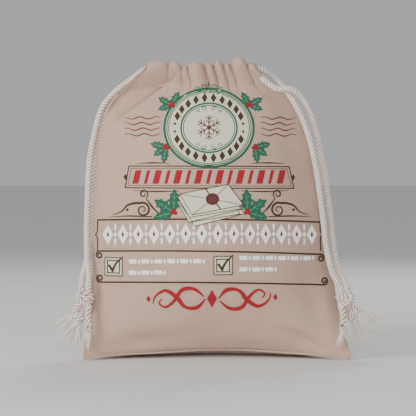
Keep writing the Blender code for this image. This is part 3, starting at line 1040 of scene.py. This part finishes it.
def draw_envelopes():
    paper, edge = INKS["cream"], INKS["dark_brown"]
    top = np.array([(-39.4, 180.4), (12.4, 190.6), (28.5, 168.7), (-26.0, 158.2)])
    shifts = (
        (1.5, -11.0, 0.06), (-3.2, -8.6, -0.03), (-1.0, -6.0, 0.05), (-2.6, -3.2, -0.02), (0, 0, 0),
    )
    middle = top.mean(axis=0)
    for k, (dx, dz, turn) in enumerate(shifts):
        c, s = math.cos(turn), math.sin(turn)
        corners = (top - middle) @ np.array([[c, s], [-s, c]]) + middle + (dx, dz)
        paper.patch(corners, 2 + 2 * k)
        edge.line([*corners, corners[0]], 0.75, 3 + 2 * k)
    seal = np.array((-4.5, 175.0))
    for corner in top:
        edge.line([corner, seal], 0.6, 12)
    edge.line([(-11.5, 185.6), seal, (4.0, 164.6)], 1.2, 13)
    INKS["maroon"].patch(oval(seal, 7.2, 6.4, 30), 14)
    edge.stroke(oval(seal, 5.0, 4.4, 24), 0.6, 15, True)
    holly_pair((-46.0, 161.0), (148, 196, 88), 25.0)


def draw_scrollwork():
    brown = INKS["dark_brown"]
    both_sides(brown.stroke, [(-118, 154.9), (-96, 156.4), (-69, 156.0)], (0.4, 1.6, 1.2))
    sweep = [(-114, 157.5), (-104, 161.0), (-97, 168.0), (-88, 170.6)]
    big = curl((-79.8, 163.2), 8.2, 118, -1.55, 0.2)
    both_sides(brown.stroke, sweep + big, (0.6, 2.5, 2.1, 1.0))
    both_sides(brown.stroke, curl((-79.0, 180.2), 5.2, -60, 1.3, 0.25), (0.8, 2.1, 1.0))
    stem = [(-76.4, 175.7), (-72.0, 170.0), (-68.0, 165.0), (-61, 158.5)]
    both_sides(brown.stroke, stem, (1.0, 2.2, 0.7))
    both_sides(brown.patch, oval((-97.0, 163.2), 1.5, 1.5, 12), 1)


def draw_lower_banner():
    brown, white = INKS["dark_brown"], INKS["white"]

    def across(left, right, z, drop=0.0):
        count = 24
        return [
            bowed(left + (right - left) * k / count, z - drop * (k / count) ** 2)
            for k in range(count + 1)
        ]

    brown.stroke(across(-132.0, 115.5, 151.0, 2.5), 1.8)
    for x, side in ((-131.6, -1), (115.0, 1)):
        upright = [(x, 150.6), (x, 139.0), (x + side * 2.2, 135.0), (x, 131.0), (x, 117.4)]
        brown.stroke(upright, 1.4)
    for line, up in (
        (across(-129.0, 115.0, 116.6, 3.5), -1), (across(-128.0, 118.5, 82.6, 2.5), 1),
    ):
        brown.stroke(line, 1.8)
        for (x, z), side in ((line[0], -1), (line[-1], 1)):
            spiral = curl((x, z + up * CURL_RADIUS), CURL_RADIUS, -90 * up, 1.35 * side * up, 0.3)
            brown.stroke(spiral, (1.8, 2.0, 1.6))
    # a white chain of lozenges between the lines
    for k in range(14):
        x = -119.0 + 17.2 * k
        _, z = bowed(x, 134.6)
        white.patch(lozenge(x, z, 6.2, 11.4), 2)
        INKS["maroon"].patch(lozenge(x, z, 1.5, 3.4), 3)
        if k < 13:
            _, z = bowed(x + 8.6, 134.6)
            white.patch(lozenge(x + 8.6, z, 2.1, 3.2), 2)
            white.line([(x + 8.6, z + 5.6), (x + 8.6, z + 10.0)], 2.2, 2)
            white.line([(x + 8.6, z - 5.6), (x + 8.6, z - 10.0)], 2.2, 2)


def draw_tick_box(x, z):
    outline = []
    half, bumps = 10.2, 7
    for sx, sz, ax, az in ((-1, -1, 1, 0), (1, -1, 0, 1), (1, 1, -1, 0), (-1, 1, 0, -1)):
        for k in range(bumps * 4):
            t = k / (bumps * 4)
            notch = 1.1 * (1 - abs(math.sin(math.pi * t * bumps)))
            outline.append((
                x + half * (sx + 2 * ax * t) - az * notch,
                z + half * (sz + 2 * az * t) + ax * notch,
            ))
    INKS["cream"].patch(outline, 1)
    brown = INKS["dark_brown"]
    brown.line([*outline, outline[0]], 0.8, 2)
    inner = half - 3.4
    square = [(x - inner, z - inner), (x + inner, z - inner)]
    square += [(x + inner, z + inner), (x - inner, z + inner)]
    brown.line([*square, square[0]], 1.3, 2)
    brown.line([(x - 4.6, z + 0.8), (x - 1.0, z - 4.6)], 2.6, 3)
    tick = [(x - 1.2, z - 4.4), (x + 3.0, z + 3.6), (x + 10.8, z + 11.6)]
    brown.stroke(tick, (2.6, 2.2, 0.8), 3)


def draw_address_lines():
    """Two ruled lines beside each tick box, each made of short dashes."""
    for x, z, lengths in ((-112.5, 100.6, (6, 3)), (7.0, 104.0, (6, 3))):
        draw_tick_box(x, z)
        for row, count in enumerate(lengths):
            for k in range(count):
                left = x + 17.5 + 14.0 * k
                _, height = bowed(left, z + 4.6 - 12.2 * row)
                dash = [(left, height - 2.3), (left + 8.6, height - 2.3)]
                dash += [(left + 8.6, height + 2.3), (left, height + 2.3)]
                INKS["white"].patch(dash, 2)
                INKS["white"].patch(lozenge(left + 11.3, height, 1.7, 3.0), 2)


def draw_flourish():
    red = INKS["red"]
    middle = (-5.0, 68.0)
    red.patch(lozenge(*middle, 5.5, 10.0), 2)
    for side in (1, -1):
        def place(points):
            return [(middle[0] + side * dx, middle[1] + side * dz) for dx, dz in points]

        red.stroke(
            place([(7, 0), (16, 9.5), (29, 9.0), (38, -1.5), (50, -8.5), (61, -2.0), (63.5, 6.0)]),
            (1.0, 4.6, 3.4, 5.0, 4.2, 2.6, 1.0), 2,
        )
        red.stroke(
            place([(8, -2), (19, -10.5), (32, -9.5), (41, 3.0), (50, 9.5), (57, 5.5), (54, 0.5)]),
            (1.0, 3.4, 4.4, 4.0, 3.2, 2.2, 1.0), 3,
        )
        red.patch(lozenge(*place([(68.5, 1.0)])[0], 2.4, 3.8), 2)


def lay_print(cloth):
    """Puts each colour on the front cloth as a thin layer just proud of it."""
    tree = BVHTree.FromObject(cloth, bpy.context.evaluated_depsgraph_get())
    pieces = []
    for ink in INKS.values():
        laid = []
        for (x, z), layer in zip(ink.points, ink.layers):
            place, normal, _, _ = tree.ray_cast(Vector((x * MM, -0.3, z * MM)), Vector((0, 1, 0)))
            if place is None:
                place, normal, _, _ = tree.find_nearest(Vector((x * MM, -0.05, z * MM)))
            if normal.y > 0:
                normal = -normal
            lift = (PRINT_LIFT + LAYER_LIFT * layer) * MM
            laid.append((place + normal * lift) / MM)
        finish = canvas_material("ink_" + ink.name, ink.colour, 0.10, 0.3)
        piece = make_mesh("print_" + ink.name, np.array(laid), ink.faces, finish, ink.points)
        pieces.append(piece)
    return pieces


def draw_print(cloth):
    draw_roundel()
    draw_top_banner()
    draw_envelopes()
    draw_scrollwork()
    draw_lower_banner()
    draw_address_lines()
    draw_flourish()
    return lay_print(cloth)


def main():
    make_camera()
    make_studio()
    canvas = canvas_material("taupe_canvas", CANVAS)
    # both cotton materials carry painted shade; the yarn's groove span (0.6, 1.2) lies past the half
    # turn, so the yarn takes painted shade only in its low spots
    rope = rope_material("cotton_rope", ROPE, ROPE_PAINTED_SHADE)
    yarn = rope_material("cotton_yarn", YARN, ROPE_PAINTED_SHADE, (0.6, 1.2), 0.25)

    front = add_cloth("front_cloth", False, canvas)
    back = add_cloth("back_cloth", True, canvas)
    printed = draw_print(front)
    for piece, half in ((front, "front"), (back, "back")):
        stands_for = (f"{half}_panel", f"{half}_casing", f"{half}_casing_stitching")
        settle(piece, "cotton_canvas", *stands_for)
        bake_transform(piece)
    for piece in printed:
        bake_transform(piece)
    add_seams(canvas)
    ends = {side: add_cord_end(side, rope, yarn) for side in CORD_ENDS}
    add_cords(rope)


main()
